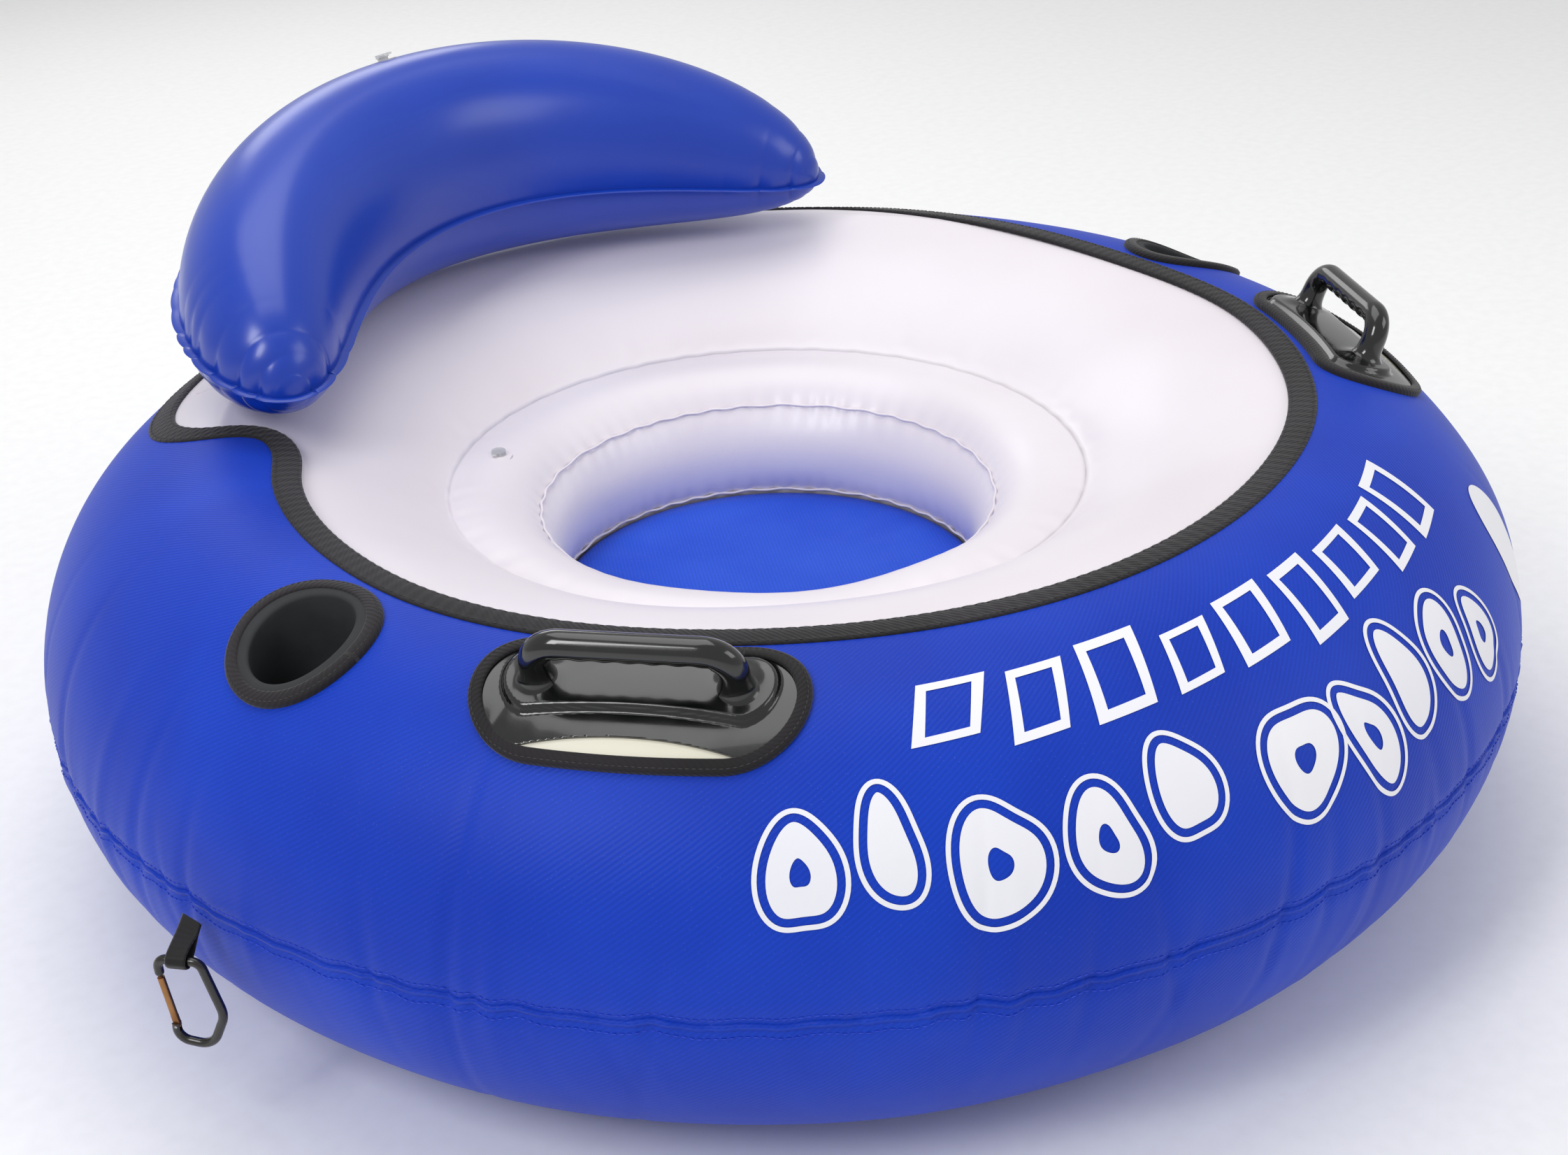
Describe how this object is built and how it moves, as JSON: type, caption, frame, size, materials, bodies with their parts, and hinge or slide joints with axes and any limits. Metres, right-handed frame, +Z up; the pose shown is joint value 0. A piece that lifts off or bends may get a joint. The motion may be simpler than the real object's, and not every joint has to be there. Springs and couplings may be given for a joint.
{
  "type": "inflatable river tube",
  "caption": "Inflatable ring tube in a fabric cover, with a crescent backrest, moulded grab handles, recessed cup wells, an open seat with a floor, and a wire clip for linking to another tube.",
  "frame": {"origin": "centre of the ring on the surface the tube lies on", "axes": "+Z up along the ring's axis, -Y towards the sitter's legs, +Y towards the backrest, +X to the sitter's left as they lean on the backrest"},
  "size_m": [1.2952, 1.2244, 0.5584],
  "materials": {
    "cover_fabric": "royal blue coated nylon twill, softly satin",
    "seam_thread": "folded seam allowance in blue nylon, double stitched",
    "binding_tape": "black twill binding tape, matt",
    "patch_pvc": "cream PVC patch, satin",
    "handle_moulding": "black moulded PVC, glossy",
    "neoprene": "dark grey neoprene, matt",
    "white_pvc_film": "white PVC film, satin gloss",
    "clear_pvc": "clear soft PVC, glossy",
    "blue_pvc_film": "royal blue PVC film, glossy",
    "webbing": "black ribbed polyester webbing",
    "gate_bronze": "bronze anodised rod",
    "plated_steel": "plain wire",
    "clip_enamel": "black enamel over bent wire"
  },
  "bodies": {
    "tube": {"backrest_fixing_strip": "white_pvc_film", "backrest_lower_panel": "blue_pvc_film", "backrest_upper_panel": "blue_pvc_film", "backrest_valve_base": "clear_pvc", "backrest_weld_flange": "blue_pvc_film", "bladder_baffle": "white_pvc_film", "bladder_cup_saddle_left": "white_pvc_film", "bladder_cup_saddle_right": "white_pvc_film", "bladder_hole_wall": "white_pvc_film", "bladder_outer_film": "white_pvc_film", "bladder_seat_ring": "white_pvc_film", "bladder_seat_slope": "white_pvc_film", "bladder_under_film": "white_pvc_film", "cover_bottom_panel": "cover_fabric", "cover_floor_panel": "cover_fabric", "cover_top_panel": "cover_fabric", "cup_binding_left": "binding_tape", "cup_binding_right": "binding_tape", "cup_pocket_left": "neoprene", "cup_pocket_right": "neoprene", "cup_recess_left": "white_pvc_film", "cup_recess_right": "white_pvc_film", "cup_ring_left": "neoprene", "cup_ring_right": "neoprene", "equator_seam_ridge": "seam_thread", "handle_binding_left": "binding_tape", "handle_binding_right": "binding_tape", "handle_left": "handle_moulding", "handle_patch_left": "patch_pvc", "handle_patch_right": "patch_pvc", "handle_right": "handle_moulding", "hole_lower_weld": "white_pvc_film", "hole_upper_weld": "white_pvc_film", "main_valve_base": "clear_pvc", "opening_binding": "binding_tape", "seat_floor_cloth": "cover_fabric"},
    "main_stem": {"main_valve_stem": "clear_pvc"},
    "main_cap": {"main_valve_cap": "clear_pvc"},
    "backrest_stem": {"backrest_valve_stem": "clear_pvc"},
    "backrest_cap": {"backrest_valve_cap": "clear_pvc"},
    "left_strap": {"link_loop_left": "webbing"},
    "right_strap": {"link_loop_right": "webbing"},
    "clip": {"clip_body": "clip_enamel", "clip_gate_pin": "plated_steel"},
    "gate": {"clip_gate": "gate_bronze", "clip_gate_spring": "plated_steel"}
  },
  "joints": [
    {"name": "main_valve_slide", "type": "slide", "parent": "tube", "child": "main_stem", "axis": [0, 0, 1], "range_m": [0, 0.01]},
    {"name": "main_cap_hinge", "type": "hinge", "parent": "main_stem", "child": "main_cap", "pos_m": [-0.14651, 0.19743, 0.2718], "axis": [0.5, -0.866, 0], "range_deg": [0, 130]},
    {"name": "backrest_valve_slide", "type": "slide", "parent": "tube", "child": "backrest_stem", "axis": [-0.0459, 0.319, 0.9466], "range_m": [0, 0.01]},
    {"name": "backrest_cap_hinge", "type": "hinge", "parent": "backrest_stem", "child": "backrest_cap", "pos_m": [-0.02543, 0.46446, 0.55584], "axis": [0, 0.9476, -0.3194], "range_deg": [0, 130]},
    {"name": "left_strap_flex", "type": "hinge", "parent": "tube", "child": "left_strap", "pos_m": [-0.61064, -0.06135, 0.173], "axis": [0.5592, -0.829, 0], "range_deg": [-20, 18]},
    {"name": "right_strap_flex", "type": "hinge", "parent": "tube", "child": "right_strap", "pos_m": [0.61064, -0.06135, 0.173], "axis": [0.5592, 0.829, 0], "range_deg": [-20, 18]},
    {"name": "clip_swing", "type": "hinge", "parent": "left_strap", "child": "clip", "pos_m": [-0.63716, -0.07924, 0.157], "axis": [0.5592, -0.829, 0], "range_deg": [-75, 12]},
    {"name": "gate_hinge", "type": "hinge", "parent": "clip", "child": "gate", "pos_m": [-0.64304, -0.07054, 0.102], "axis": [0.829, 0.5592, 0], "range_deg": [0, 28], "stiffness_Nm_per_rad": 0.05, "springref_deg": -20.05}
  ]
}
